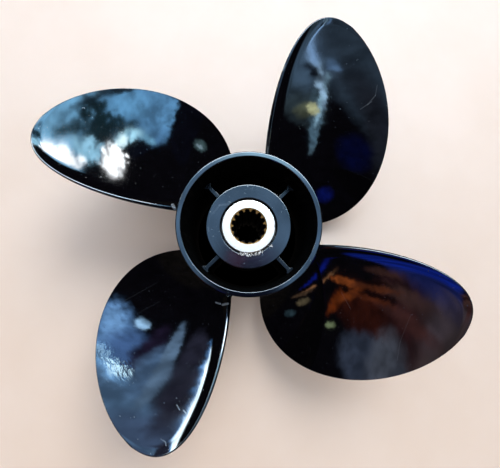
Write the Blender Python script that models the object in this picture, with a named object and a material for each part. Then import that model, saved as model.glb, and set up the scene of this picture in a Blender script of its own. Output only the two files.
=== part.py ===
"""Four-blade outboard propeller whose exhaust leaves through the hub.

The shaft axis is +Z and points aft. The propeller stands on the front end of its barrel, at z = 0.
It is a right-hand propeller: seen from aft, each blade's trailing edge is on the counter-clockwise
side of its leading edge, and it stands higher. Azimuths are counter-clockwise from +X, seen from aft.
"""

import math

import bmesh
import bpy

MM = 0.001
GAP = 0.3 * MM

# Whole propeller
DIAMETER = 343.0 * MM
BLADES = 4
BARREL_LENGTH = 110.5 * MM

# Splined sleeve, from the shaft outward
SPLINE_TEETH = 15
SPLINE_MAJOR_DIAMETER = 25.4 * MM
SPLINE_TOOTH_DEPTH = 1.45 * MM
SPLINE_GROOVE_SHARE = 0.46
SPLINE_FLANK_SHARE = 0.08
MOUTH_CHAMFER = 1.2 * MM
MOUTH_DEPTH = 2.0 * MM
SLEEVE_WALL = 3.8 * MM
COLLAR_OVERHANG = 3.6 * MM
COLLAR_HEIGHT = 8.0 * MM
COLLAR_CHAMFER = 0.4 * MM
SLEEVE_PROUD = 0.5 * MM
SLEEVE_FRONT_REACH = 4.0 * MM

# Rubber bushing and inner hub
BUSHING_WALL = 9.4 * MM
BUSHING_INSET = 3.0 * MM
HUB_WALL = 5.95 * MM
HUB_AFT_RECESS = 17.7 * MM
HUB_FRONT_RECESS = 10.0 * MM
HUB_LIP_THICKNESS = 8.8 * MM
HUB_LIP_CLEARANCE = 1.6 * MM
HUB_EDGE_CHAMFER = 0.8 * MM

# Ribs
RIB_THICKNESS = 3.7 * MM
RIB_END_FLARE = 1.9 * MM
RIB_FLARE_LENGTH = 4.0 * MM
RIB_AFT_SETBACK = 10.5 * MM
RIB_FRONT_SETBACK = 4.0 * MM
FIRST_RIB_AZIMUTH = math.radians(45.0)

# Barrel
PASSAGE_WIDTH = 14.65 * MM
RIM_OPENING = 1.8 * MM
RIM_WALL = 3.7 * MM
BARREL_TAPER = 1.9 * MM
FRONT_WALL = 4.0 * MM
COUNTERBORE_DEPTH = 8.0 * MM
BARREL_CHAMFER = 0.5 * MM

# Blades
PITCH = 406.0 * MM
RAKE_ANGLE = math.radians(19.3)
ROOT_HEIGHT = 45.7 * MM
BLADE_LEAD_ANGLE = math.radians(0.6)
SKEW_ANGLE = math.radians(18.0)
SKEW_POWER = 2.2
ROOT_HALF_WIDTH = 29.6 * MM
MIDDLE_HALF_WIDTH = 62.6 * MM
OUTER_HALF_WIDTH = 68.0 * MM
TIP_ROUNDNESS = 3.26
ROOT_CROWN = 9.0 * MM
TIP_CROWN = 1.2 * MM
LEADING_EDGE_THICKNESS = 1.6 * MM
ROOT_TRAILING_THICKNESS = 4.6 * MM
TIP_TRAILING_THICKNESS = 2.6 * MM
CUP_HEIGHT = 1.5 * MM
CUP_WIDTH = 9.0 * MM
SIDE_FILLET = 6.0 * MM
END_FILLET = 3.0 * MM

# How finely round shapes are divided
BARREL_SEGMENTS = 96
HUB_SEGMENTS = 64
CHORD_POINTS = 19
EDGE_SIDES = (0.5, 0.0, -0.5)
SPAN_RINGS = 15
TIP_SHARE = 0.9996
FILLET_RINGS = (0.12, 0.4, 1.0)
SPAN_EASE = 0.55
RIB_FLARE_STEPS = 3
RIB_FLARE_MOST = 1 / 3
CREASE_ANGLE = math.radians(35.0)

# Sizes that follow from the ones above
SPLINE_MAJOR_RADIUS = SPLINE_MAJOR_DIAMETER / 2
SPLINE_MINOR_RADIUS = SPLINE_MAJOR_RADIUS - SPLINE_TOOTH_DEPTH
MOUTH_RADIUS = SPLINE_MAJOR_RADIUS + MOUTH_CHAMFER
SLEEVE_RADIUS = SPLINE_MAJOR_RADIUS + SLEEVE_WALL
COLLAR_RADIUS = SLEEVE_RADIUS + COLLAR_OVERHANG
BUSHING_INNER_RADIUS = SLEEVE_RADIUS + GAP
BUSHING_OUTER_RADIUS = BUSHING_INNER_RADIUS + BUSHING_WALL
POCKET_RADIUS = BUSHING_OUTER_RADIUS + GAP
HUB_RADIUS = POCKET_RADIUS + HUB_WALL
LIP_RADIUS = COLLAR_RADIUS + HUB_LIP_CLEARANCE
PASSAGE_RADIUS = HUB_RADIUS + PASSAGE_WIDTH
RIM_INNER_RADIUS = PASSAGE_RADIUS + RIM_OPENING
RIM_RADIUS = RIM_INNER_RADIUS + RIM_WALL
FRONT_RADIUS = RIM_RADIUS + BARREL_TAPER
COUNTERBORE_RADIUS = FRONT_RADIUS - FRONT_WALL
HUB_AFT = BARREL_LENGTH - HUB_AFT_RECESS
HUB_FRONT = HUB_FRONT_RECESS
LIP_UNDERSIDE = HUB_AFT - HUB_LIP_THICKNESS
SLEEVE_AFT = HUB_AFT + SLEEVE_PROUD
SLEEVE_FRONT = HUB_FRONT - SLEEVE_FRONT_REACH
COLLAR_UNDERSIDE = SLEEVE_AFT - COLLAR_HEIGHT
BUSHING_AFT = min(LIP_UNDERSIDE, COLLAR_UNDERSIDE) - GAP
BUSHING_FRONT = HUB_FRONT + BUSHING_INSET
RIB_AFT = HUB_AFT - RIB_AFT_SETBACK
RIB_FRONT = HUB_FRONT + RIB_FRONT_SETBACK
TIP_RADIUS = DIAMETER / 2
RISE_PER_RADIAN = PITCH / math.tau
RAKE = math.tan(RAKE_ANGLE)


def material(name, colour, roughness, metallic):
    """A Principled material of one colour."""
    made = bpy.data.materials.new(name)
    made.use_nodes = True
    shader = made.node_tree.nodes["Principled BSDF"]
    shader.inputs["Base Color"].default_value = (*colour, 1.0)
    shader.inputs["Roughness"].default_value = roughness
    shader.inputs["Metallic"].default_value = metallic
    return made


def add_object(name, bm, finish):
    """Turn a closed bmesh into a smooth-shaded object of the scene."""
    bmesh.ops.recalc_face_normals(bm, faces=bm.faces)
    mesh = bpy.data.meshes.new(name)
    bm.to_mesh(mesh)
    bm.free()
    mesh.shade_smooth()
    mesh.set_sharp_from_angle(angle=CREASE_ANGLE)
    mesh.materials.append(finish)
    made = bpy.data.objects.new(name, mesh)
    bpy.context.scene.collection.objects.link(made)
    return made


def on_cylinder(radius, azimuth, height):
    """The point at a radius, an azimuth and a height."""
    return (radius * math.cos(azimuth), radius * math.sin(azimuth), height)


def turned(name, profile, segments, finish):
    """Spin a closed profile of (radius, height) points about the shaft axis."""
    bm = bmesh.new()
    corners = [bm.verts.new((radius, 0.0, height)) for radius, height in profile]
    edges = [
        bm.edges.new((corner, corners[(i + 1) % len(corners)]))
        for i, corner in enumerate(corners)
    ]
    bmesh.ops.spin(
        bm,
        geom=corners + edges,
        cent=(0.0, 0.0, 0.0),
        axis=(0.0, 0.0, 1.0),
        angle=math.tau,
        steps=segments,
        use_merge=True,
    )
    return add_object(name, bm, finish)


def bridge(bm, first, second):
    """Join two closed loops that have the same number of vertices."""
    for i, corner in enumerate(first):
        j = (i + 1) % len(first)
        bm.faces.new((corner, first[j], second[j], second[i]))


def build_barrel(finish):
    """The outer tube, with a counterbore in its front end and an opened-out aft rim."""
    profile = [
        (FRONT_RADIUS - BARREL_CHAMFER, 0.0),
        (FRONT_RADIUS, BARREL_CHAMFER),
        (RIM_RADIUS, BARREL_LENGTH - BARREL_CHAMFER),
        (RIM_RADIUS - BARREL_CHAMFER, BARREL_LENGTH),
        (RIM_INNER_RADIUS, BARREL_LENGTH),
        (PASSAGE_RADIUS, RIB_AFT),
        (PASSAGE_RADIUS, COUNTERBORE_DEPTH),
        (COUNTERBORE_RADIUS, COUNTERBORE_DEPTH),
        (COUNTERBORE_RADIUS, 0.0),
    ]
    return turned("barrel", profile, BARREL_SEGMENTS, finish)


def build_inner_hub(finish):
    """The inner tube: a pocket for the bushing, closed by a lip at its aft end."""
    profile = [
        (HUB_RADIUS - HUB_EDGE_CHAMFER, HUB_FRONT),
        (HUB_RADIUS, HUB_FRONT + HUB_EDGE_CHAMFER),
        (HUB_RADIUS, HUB_AFT - HUB_EDGE_CHAMFER),
        (HUB_RADIUS - HUB_EDGE_CHAMFER, HUB_AFT),
        (LIP_RADIUS, HUB_AFT),
        (LIP_RADIUS, LIP_UNDERSIDE),
        (POCKET_RADIUS, LIP_UNDERSIDE),
        (POCKET_RADIUS, HUB_FRONT),
    ]
    return turned("inner_hub", profile, HUB_SEGMENTS, finish)


def build_bushing(finish):
    """The rubber ring that carries the splined sleeve in the inner hub."""
    profile = [
        (BUSHING_OUTER_RADIUS, BUSHING_FRONT),
        (BUSHING_OUTER_RADIUS, BUSHING_AFT),
        (BUSHING_INNER_RADIUS, BUSHING_AFT),
        (BUSHING_INNER_RADIUS, BUSHING_FRONT),
    ]
    return turned("rubber_bushing", profile, HUB_SEGMENTS, finish)


def spline_directions():
    """Around the bore: each point's azimuth, and whether it lies in a groove."""
    tooth_angle = math.tau / SPLINE_TEETH
    groove = SPLINE_GROOVE_SHARE * tooth_angle
    flank = SPLINE_FLANK_SHARE * tooth_angle
    crest = tooth_angle - groove - 2 * flank
    points = []
    for tooth in range(SPLINE_TEETH):
        middle = tooth * tooth_angle
        for share in (-0.5, 0.0, 0.5):
            points.append((middle + share * groove, True))
        crest_start = middle + groove / 2 + flank
        for share in (0.0, 0.5, 1.0):
            points.append((crest_start + share * crest, False))
    return points


def build_sleeve(finish):
    """The metal sleeve: a plain outside with an aft collar, and a bore with spline teeth."""
    bm = bmesh.new()
    directions = spline_directions()

    def round_loop(radius, height):
        return [bm.verts.new(on_cylinder(radius, azimuth, height)) for azimuth, _ in directions]

    def spline_loop(height):
        return [
            bm.verts.new(
                on_cylinder(SPLINE_MAJOR_RADIUS if groove else SPLINE_MINOR_RADIUS, azimuth, height)
            )
            for azimuth, groove in directions
        ]

    loops = [
        round_loop(SLEEVE_RADIUS, SLEEVE_FRONT),
        round_loop(SLEEVE_RADIUS, COLLAR_UNDERSIDE),
        round_loop(COLLAR_RADIUS, COLLAR_UNDERSIDE),
        round_loop(COLLAR_RADIUS, SLEEVE_AFT - COLLAR_CHAMFER),
        round_loop(COLLAR_RADIUS - COLLAR_CHAMFER, SLEEVE_AFT),
        round_loop(MOUTH_RADIUS, SLEEVE_AFT),
        spline_loop(SLEEVE_AFT - MOUTH_DEPTH),
        spline_loop(SLEEVE_FRONT + MOUTH_DEPTH),
        round_loop(MOUTH_RADIUS, SLEEVE_FRONT),
    ]
    for i, loop in enumerate(loops):
        bridge(bm, loop, loops[(i + 1) % len(loops)])
    return add_object("splined_sleeve", bm, finish)


def rib_outline():
    """The rib seen from aft, along +X: a plate whose two ends flare and follow the tubes."""
    inner = HUB_RADIUS + GAP
    outer = PASSAGE_RADIUS - GAP
    half = RIB_THICKNESS / 2
    end_half = half + RIB_END_FLARE
    flare = min(RIB_FLARE_LENGTH, RIB_FLARE_MOST * (outer - inner))
    side = []
    for step in range(RIB_FLARE_STEPS + 1):
        angle = step / RIB_FLARE_STEPS * math.pi / 2
        along = inner * math.cos(math.asin(end_half / inner)) + flare * math.sin(angle)
        side.append((along, half + RIB_END_FLARE * (1 - math.sin(angle))))
    for step in range(RIB_FLARE_STEPS, -1, -1):
        angle = step / RIB_FLARE_STEPS * math.pi / 2
        along = outer * math.cos(math.asin(end_half / outer)) - flare * math.sin(angle)
        side.append((along, half + RIB_END_FLARE * (1 - math.sin(angle))))
    return side + [(outer, 0.0)] + [(x, -y) for x, y in reversed(side)] + [(inner, 0.0)]


def build_rib(number, finish):
    """One web between the inner hub and the barrel."""
    bm = bmesh.new()
    corners = [bm.verts.new((x, y, RIB_FRONT)) for x, y in rib_outline()]
    base = bm.faces.new(corners)
    raised = bmesh.ops.extrude_face_region(bm, geom=[base])["geom"]
    tops = [item for item in raised if isinstance(item, bmesh.types.BMVert)]
    bmesh.ops.translate(bm, verts=tops, vec=(0.0, 0.0, RIB_AFT - RIB_FRONT))
    bmesh.ops.triangulate(bm, faces=[face for face in bm.faces if len(face.verts) > 4])
    rib = add_object(f"rib_{number}", bm, finish)
    rib.rotation_euler.z = FIRST_RIB_AZIMUTH + (number - 1) * math.tau / BLADES
    return rib


def barrel_radius(height):
    """The barrel's outer radius, which tapers from the front end to the aft rim."""
    return FRONT_RADIUS - BARREL_TAPER * height / BARREL_LENGTH


def half_width(share):
    """Half the blade's width along its arc, at a share of the span from root to tip."""
    through_root = (1 - share) * (1 - 2 * share) * ROOT_HALF_WIDTH
    through_middle = 4 * share * (1 - share) * MIDDLE_HALF_WIDTH
    through_outer = share * (2 * share - 1) * OUTER_HALF_WIDTH
    return tip_rounding(share) * (through_root + through_middle + through_outer)


def tip_rounding(share):
    """One over most of the span, falling to nothing at the tip."""
    return math.sqrt(1 - share**TIP_ROUNDNESS)


def fillet(distance, radius):
    """How far a quarter-round fillet reaches sideways at a distance from the barrel."""
    if distance >= radius:
        return 0.0
    return radius - math.sqrt(radius**2 - (radius - distance) ** 2)


def thickness(share, across):
    """The blade's thickness; across runs from -1 at the leading edge to 1 at the trailing edge."""
    trailing = ROOT_TRAILING_THICKNESS + share * (TIP_TRAILING_THICKNESS - ROOT_TRAILING_THICKNESS)
    edge = LEADING_EDGE_THICKNESS + (trailing - LEADING_EDGE_THICKNESS) * (1 + across) / 2
    crown = ROOT_CROWN + share * (TIP_CROWN - ROOT_CROWN)
    return edge + crown * (1 - across**2)


def blade_point(share, across, side):
    """A point of the blade's skin, where side is 1 on the aft face and -1 on the forward face."""
    root_radius = barrel_radius(ROOT_HEIGHT)
    radius = root_radius + share * (TIP_RADIUS - root_radius)
    rise = radius - root_radius
    width = half_width(share) + fillet(rise, END_FILLET)
    azimuth = SKEW_ANGLE * share**SKEW_POWER + across * width / radius
    slope = math.atan2(RISE_PER_RADIAN, radius)
    from_trailing = (1 - across) * width / math.cos(slope)
    cup = CUP_HEIGHT * tip_rounding(share) * max(0.0, 1 - from_trailing / CUP_WIDTH) ** 2
    full = thickness(share, across) + 2 * fillet(rise, SIDE_FILLET) * math.sqrt(1 - across**4)
    offset = side * full / 2 + cup
    height = ROOT_HEIGHT + rise * RAKE + RISE_PER_RADIAN * azimuth + offset * math.cos(slope)
    azimuth -= offset * math.sin(slope) / radius
    seat = barrel_radius(height) + GAP
    return on_cylinder(seat + share * (TIP_RADIUS - seat), azimuth, height)


def span_shares():
    """Where the blade's sections stand: close together over the root fillet and at the tip."""
    span = TIP_RADIUS - barrel_radius(ROOT_HEIGHT)
    shares = [0.0] + [SIDE_FILLET * part / span for part in FILLET_RINGS]
    start = shares[-1]
    for ring in range(1, SPAN_RINGS + 1):
        turn = math.sin(ring / SPAN_RINGS * math.pi / 2)
        even = ring / SPAN_RINGS
        shares.append(start + (TIP_SHARE - start) * (SPAN_EASE * turn + (1 - SPAN_EASE) * even))
    return shares


def blade_section(bm, share, crossings):
    """One section's skin as a closed loop: aft face, trailing edge, forward face, leading edge."""
    path = [(across, 1.0) for across in crossings]
    path += [(1.0, side) for side in EDGE_SIDES]
    path += [(across, -1.0) for across in reversed(crossings)]
    path += [(-1.0, side) for side in reversed(EDGE_SIDES)]
    return [bm.verts.new(blade_point(share, across, side)) for across, side in path]


def close_blade_end(bm, loop, share, crossings):
    """Fill a section's loop with strips that follow the cylinder it lies on."""
    count = len(crossings)
    edge_count = len(EDGE_SIDES)
    rows = [loop[:count]]
    for i, side in enumerate(EDGE_SIDES):
        inner = [bm.verts.new(blade_point(share, across, side)) for across in crossings[1:-1]]
        rows.append([loop[-1 - i]] + inner + [loop[count + i]])
    rows.append(loop[count + edge_count : 2 * count + edge_count][::-1])
    for upper, lower in zip(rows, rows[1:]):
        for i in range(count - 1):
            bm.faces.new((upper[i], upper[i + 1], lower[i + 1], lower[i]))


def build_blade(number, finish):
    """One blade: sections on cylinders about the shaft, joined from root to tip."""
    bm = bmesh.new()
    crossings = [-math.cos(math.pi * i / (CHORD_POINTS - 1)) for i in range(CHORD_POINTS)]
    shares = span_shares()
    loops = [blade_section(bm, share, crossings) for share in shares]
    for first, second in zip(loops, loops[1:]):
        bridge(bm, first, second)
    close_blade_end(bm, loops[0], shares[0], crossings)
    close_blade_end(bm, loops[-1], shares[-1], crossings)
    blade = add_object(f"blade_{number}", bm, finish)
    turn = FIRST_RIB_AZIMUTH + (number - 1) * math.tau / BLADES
    blade.rotation_euler.z = turn + BLADE_LEAD_ANGLE
    return blade


def main():
    """Build the propeller in an emptied scene."""
    for old in list(bpy.data.objects):
        bpy.data.objects.remove(old)
    paint = (0.010, 0.011, 0.014)
    build_barrel(material("barrel_paint", paint, 0.16, 0.0))
    build_inner_hub(material("hub_paint", paint, 0.22, 0.0))
    for number in range(1, BLADES + 1):
        build_rib(number, material(f"rib_{number}_paint", paint, 0.25, 0.0))
        build_blade(number, material(f"blade_{number}_paint", paint, 0.10, 0.0))
    build_bushing(material("bushing_rubber", (0.018, 0.017, 0.016), 0.75, 0.0))
    build_sleeve(material("sleeve_metal", (0.72, 0.73, 0.70), 0.32, 1.0))


main()
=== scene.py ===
"""Looks of a four-blade outboard propeller: surfaces, finishes, light and camera.

Lengths are in metres in the frame's coordinates. The shaft axis is +Z and points aft, and the
propeller stands on z = 0. Azimuths are counter-clockwise from +X, seen from aft. Finishes read
their place on the part in millimetres, so the sizes in them are in millimetres.
"""

import logging
import math
from collections.abc import Callable
from dataclasses import dataclass, field
from enum import Enum
from functools import cached_property
from typing import Any

import bpy
import numpy as np
from mathutils import Matrix, Vector


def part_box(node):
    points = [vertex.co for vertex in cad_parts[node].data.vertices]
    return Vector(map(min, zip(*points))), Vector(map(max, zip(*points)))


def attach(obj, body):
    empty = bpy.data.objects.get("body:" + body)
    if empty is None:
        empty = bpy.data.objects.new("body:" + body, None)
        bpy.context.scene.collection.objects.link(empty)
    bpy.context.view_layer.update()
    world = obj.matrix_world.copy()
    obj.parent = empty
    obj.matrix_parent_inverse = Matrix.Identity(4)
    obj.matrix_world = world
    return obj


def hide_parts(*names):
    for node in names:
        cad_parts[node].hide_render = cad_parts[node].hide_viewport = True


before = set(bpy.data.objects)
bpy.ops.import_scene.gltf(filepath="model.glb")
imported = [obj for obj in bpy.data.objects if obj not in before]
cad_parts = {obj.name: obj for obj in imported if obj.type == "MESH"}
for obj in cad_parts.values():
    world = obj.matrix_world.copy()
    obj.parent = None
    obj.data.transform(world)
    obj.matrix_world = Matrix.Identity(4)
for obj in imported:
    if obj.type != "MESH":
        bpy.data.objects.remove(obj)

MM = 0.001
SHARP_ANGLE = 40.0
TEETH = 15
FIRST_AZIMUTH = math.radians(45.0)
BODY = "root"
LOG = logging.getLogger("propeller")

Colour = tuple[float, float, float]
Place = tuple[float, float, float]
Rows = tuple[tuple[float, ...], ...]
Array = np.ndarray


class Ends(Enum):
    """How a skin of rings is closed at its first and last ring."""

    STRIPS = "strips"
    TORUS = "torus"


def operator(operation: str, reflected: bool = False) -> Callable[["Wire", "Wire | float"], "Wire"]:
    """An operator that adds a Math node, which takes the other value first where it is reflected."""
    return lambda wire, other: wire.graph.maths(operation, *((other, wire) if reflected else (wire, other)))


@dataclass
class Wire:
    """One output of a shader node, for use in Python expressions."""

    graph: "Graph"
    socket: bpy.types.NodeSocket

    __add__ = __radd__ = operator("ADD")
    __mul__ = __rmul__ = operator("MULTIPLY")
    __sub__, __rsub__ = operator("SUBTRACT"), operator("SUBTRACT", True)
    __truediv__, __rtruediv__ = operator("DIVIDE"), operator("DIVIDE", True)


@dataclass
class Graph:
    """A node tree with short ways to add nodes."""

    tree: bpy.types.NodeTree

    def node(self, kind: str, settings: dict[str, Any], inputs: dict[Any, Any], output: Any = 0) -> Wire:
        """Add any node.

        Args:
            kind: The node's type, without its ShaderNode prefix.
            settings: Values of the node's own properties, which are set first.
            inputs: Values or wires of its sockets, by name or number.
            output: The name or number of the output that is wanted.

        Returns:
            The wire from that output.
        """
        made = self.tree.nodes.new("ShaderNode" + kind)
        for name, value in settings.items():
            setattr(made, name, value)
        for name, value in inputs.items():
            self.feed(made.inputs[name], value)
        return Wire(self, made.outputs[output])

    def feed(self, socket: bpy.types.NodeSocket, value: Any) -> None:
        """Link a wire to a socket, or set the socket's value.

        Args:
            socket: The input socket.
            value: A wire, a number, a vector or a colour.
        """
        if isinstance(value, Wire):
            self.tree.links.new(value.socket, socket)
        elif isinstance(value, tuple) and socket.type == "RGBA":
            socket.default_value = (*value, 1.0)
        else:
            socket.default_value = value

    def maths(self, operation: str, *values: Wire | float) -> Wire:
        """The result of a Math node."""
        return self.node("Math", {"operation": operation}, dict(enumerate(values)))

    def clamped(self, value: Wire) -> Wire:
        """A value kept between 0 and 1."""
        return self.node("Clamp", {}, {0: value})

    def vector(self, operation: str, *values: Any, output: int = 0) -> Wire:
        """The result of a Vector Math node: its vector is output 0, and its number is output 1."""
        return self.node("VectorMath", {"operation": operation}, dict(enumerate(values)), output)

    def scaled(self, vector: Wire | Place, factor: Wire | float) -> Wire:
        """A vector times a number."""
        return self.node("VectorMath", {"operation": "SCALE"}, {0: vector, "Scale": factor})

    def parts(self, vector: Wire) -> list[Wire]:
        """The x, y and z of a vector."""
        outputs = self.node("SeparateXYZ", {}, {0: vector}).socket.node.outputs
        return [Wire(self, output) for output in outputs]

    def step(self, value: Wire, low: float, high: float) -> Wire:
        """A smooth step, from 0 where the value is low to 1 where it is high."""
        ends = {"Value": value, "From Min": low, "From Max": high}
        return self.node("MapRange", {"interpolation_type": "SMOOTHSTEP"}, ends)

    def mix(self, factor: Wire, first: Any, second: Any) -> Wire:
        """A mix of two colours, with the second one's share as its factor."""
        return self.node("Mix", {"data_type": "RGBA"}, {0: factor, 6: first, 7: second}, 2)

    def noise(
        self, place: Wire, size: float, detail: float = 2.0, roughness: float = 0.5, output: Any = 0
    ) -> Wire:
        """Noise around 0.5 with lumps of a given size, and a number and strength of finer layers."""
        inputs = {"Vector": place, "Scale": 1.0 / size, "Detail": detail, "Roughness": roughness}
        return self.node("TexNoise", {}, inputs, output)


@dataclass
class Surface(Graph):
    """The node graph of one material, which each finish dresses in its own way."""

    tree: bpy.types.NodeTree = field(init=False)
    name: str

    def __post_init__(self) -> None:
        """Start the material with a Principled shader, and dress it."""
        self.material = bpy.data.materials.new(self.name)
        self.material.use_nodes = True
        self.tree = self.material.node_tree
        self.dress()

    def dress(self) -> None:
        """Leave the shader as it is, where no finish says otherwise."""

    @cached_property
    def place(self) -> Wire:
        """Where a point lies on the part, in millimetres."""
        return self.scaled(self.node("TexCoord", {}, {}, "Object"), 1.0 / MM)

    @cached_property
    def radius(self) -> Wire:
        """How far a point lies from the shaft axis."""
        across, along, _ = self.parts(self.place)
        return self.maths("SQRT", across * across + along * along)

    def lumps(self, size: float, detail: float = 2.0, roughness: float = 0.5) -> Wire:
        """Noise at the point's place."""
        return self.noise(self.place, size, detail, roughness)

    def patches(
        self, size: float, least: float, most: float, detail: float = 1.0, roughness: float = 0.5
    ) -> Wire:
        """A mask of patches or specks, which begin at the least noise and are full at the most."""
        return self.step(self.lumps(size, detail, roughness), least, most)

    def drawn(self, angle: float, factors: Place) -> Wire:
        """The place turned about the shaft axis, for noise drawn out where the factors are small."""
        settings, inputs = {"rotation_type": "Z_AXIS"}, {"Vector": self.place, "Angle": angle}
        return self.vector("MULTIPLY", self.node("VectorRotate", settings, inputs), factors)

    def hairlines(self, heading: float, spacing: float, share: float) -> Wire:
        """Fine straight scratches in one direction.

        Args:
            heading: Their direction about the shaft axis, in degrees.
            spacing: How far apart they lie.
            share: How much of the surface has them, from 0 to 1.

        Returns:
            A mask from 0 to 1.
        """
        drawn = self.drawn(math.radians(heading), (0.03 / spacing, 1.0 / spacing, 0.3 / spacing))
        patch_size, fewest, fullest = 14.0, 0.62 - 0.3 * share, 0.8 - 0.3 * share
        return self.step(self.noise(drawn, 1.0, 1.0), 0.66, 0.74) * self.patches(patch_size, fewest, fullest)

    def bump(self, height: Wire) -> Wire:
        """The normal of a relief."""
        return self.node("Bump", {}, {"Strength": 1.0, "Distance": MM, "Height": height})

    def coat(
        self, share: Wire, first: Any, second: Any, roughness: Wire | float, relief: Wire, **sockets: Any
    ) -> None:
        """Feed the shader a mix of two colours, a roughness, a relief and any other sockets."""
        colour, normal = self.mix(share, first, second), self.bump(relief)
        self.finish(Base_Color=colour, Roughness=roughness, Normal=normal, **sockets)

    def finish(self, **sockets: Any) -> None:
        """Feed the shader's sockets, which are named with _ for a space."""
        for name, value in sockets.items():
            self.feed(self.tree.nodes["Principled BSDF"].inputs[name.replace("_", " ")], value)


@dataclass(frozen=True)
class Scratch:
    """One long scratch or mark, as it runs seen from aft, in millimetres."""

    start_x: float
    start_y: float
    end_x: float
    end_y: float
    width: float
    strength: float

    def mask(self, surface: Surface) -> Wire:
        """Where the scratch is.

        Args:
            surface: The material's graph.

        Returns:
            A mask from 0 to the scratch's strength.
        """
        start = Vector((self.start_x, self.start_y, 0.0))
        run = Vector((self.end_x, self.end_y, 0.0)) - start
        flat = surface.vector("MULTIPLY", surface.place, (1.0, 1.0, 0.0))
        offset = surface.vector("SUBTRACT", flat, tuple(start))
        along = surface.vector("DOT_PRODUCT", offset, tuple(run), output=1) / run.length_squared
        nearest = surface.scaled(tuple(run), surface.clamped(along))
        apart = surface.vector("LENGTH", surface.vector("SUBTRACT", offset, nearest), output=1)
        return (1.0 - surface.step(apart, 0.3 * self.width, self.width)) * self.strength


HUB_SCRATCHES = (
    (-27.5, 9, -22.5, 15.6, 1, 0.5),
    (-22.5, 15.6, -15.5, 16.6, 1.3, 0.8),
    (26, 16.2, 26.6, 13.8, 0.8, 0.8),
    (-30.6, -1.6, -30, -4.8, 0.7, 0.8),
)

BLADE_CRINKLES = {3: ((-112.5, -95.5, -90, -109.5, 9, 0.065),)}

# Scratches and marks on each blade as seen from aft; the bright marks at the root corners of blades 2 and 3
# are painted highlights.
BLADE_SCRATCHES_AND_GLINTS = {
    1: (
        (102.4, 118.3, 102, 111.5, 0.6, 0.15),
        (102, 111.5, 96.4, 104.6, 0.7, 0.2),
        (99.6, 107, 90.6, 101, 0.6, 0.18),
        (51, 40, 54.5, 32, 0.5, 0.18),
    ),
    # Painted highlight: a bright rub at blade 2's root corner stands in for a glint.
    2: ((-59.3, 16.4, -57.6, 13.4, 1.6, 1.2),),
    3: (
        (-105.6, -62.1, -77, -44.4, 0.3, 0.07),
        (-88.5, -69.4, -71.8, -59.7, 0.3, 0.06),
        (-47.5, -127.2, -45.2, -129.8, 0.5, 0.3),
        (-42.3, -129.9, -40.2, -131.6, 0.6, 0.35),
        (-56.4, -147.3, -52.9, -148.6, 0.5, 0.3),
        (-52.9, -148.6, -52.2, -150.4, 0.5, 0.3),
        # Painted highlights: these two bright rubs at blade 3's root corner stand in for a glint.
        (-24, -58.4, -20.6, -59.2, 0.9, 0.9),
        (-18.6, -59.8, -14.4, -58.6, 1.1, 1.2),
    ),
    4: (
        (121, -63.6, 115.6, -84, 0.35, 0.06),
        (115.6, -84, 114.2, -98.8, 0.4, 0.08),
        (74.6, -49.1, 81.7, -61.5, 0.4, 0.09),
    ),
}


@dataclass
class GlossPaint(Surface):
    """Black gloss paint over a casting ground along the blade's chord, with scratches, dust and painted
    highlights at the root corners.
    """

    heading: float = 0.0
    tint: Colour = (0.0012, 0.0012, 0.002)
    # Worn paint, and also the colour of the painted highlights at the root corners.
    worn: Colour = (0.17, 0.21, 0.26)
    roughness: float = 0.04
    wave_size: float = 36.0
    wave_height: float = 0.05
    ground_size: float = 1.3
    peel_size: float = 1.4
    haze_size: float = 24.0
    dust_spacing: float = 1.7
    crinkle_size: float = 1.8
    # Scratches, and bright marks that are painted highlights.
    scratches: Rows = ()
    crinkles: Rows = ()

    def dress(self) -> None:
        """Paint, scratch and dust the blade, and paint the highlights listed among its marks."""
        ground = self.noise(self.drawn(-self.heading, (1.0, 0.16, 0.4)), self.ground_size)
        hairlines = self.hairlines(35.0, 0.5, 0.3) + self.hairlines(-50.0, 0.6, 0.2)
        dust = self.patches(self.dust_spacing, 0.75, 0.79)
        # Scratches, and on blades 2 and 3 painted highlights at the root corners.
        marks = sum(Scratch(*row).mask(self) for row in self.scratches)
        worn = self.clamped(hairlines * 0.022 + dust * 0.17 + marks)
        haze = self.patches(self.haze_size, 0.45, 0.8, 3.0)
        relief = self.lumps(self.wave_size, 1.0) * self.wave_height
        relief = relief + ground * 0.003 + self.lumps(self.peel_size, 1.0) * 0.001
        relief = relief - hairlines * 0.001 + dust * 0.01
        for row in self.crinkles:
            folds = self.noise(self.drawn(-self.heading, (1.0, 0.35, 0.4)), self.crinkle_size)
            relief = relief + Scratch(*row).mask(self) * folds
        self.coat(worn, self.tint, self.worn, haze * 0.04 + worn * 0.35 + self.roughness, relief, IOR=1.5)


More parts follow.
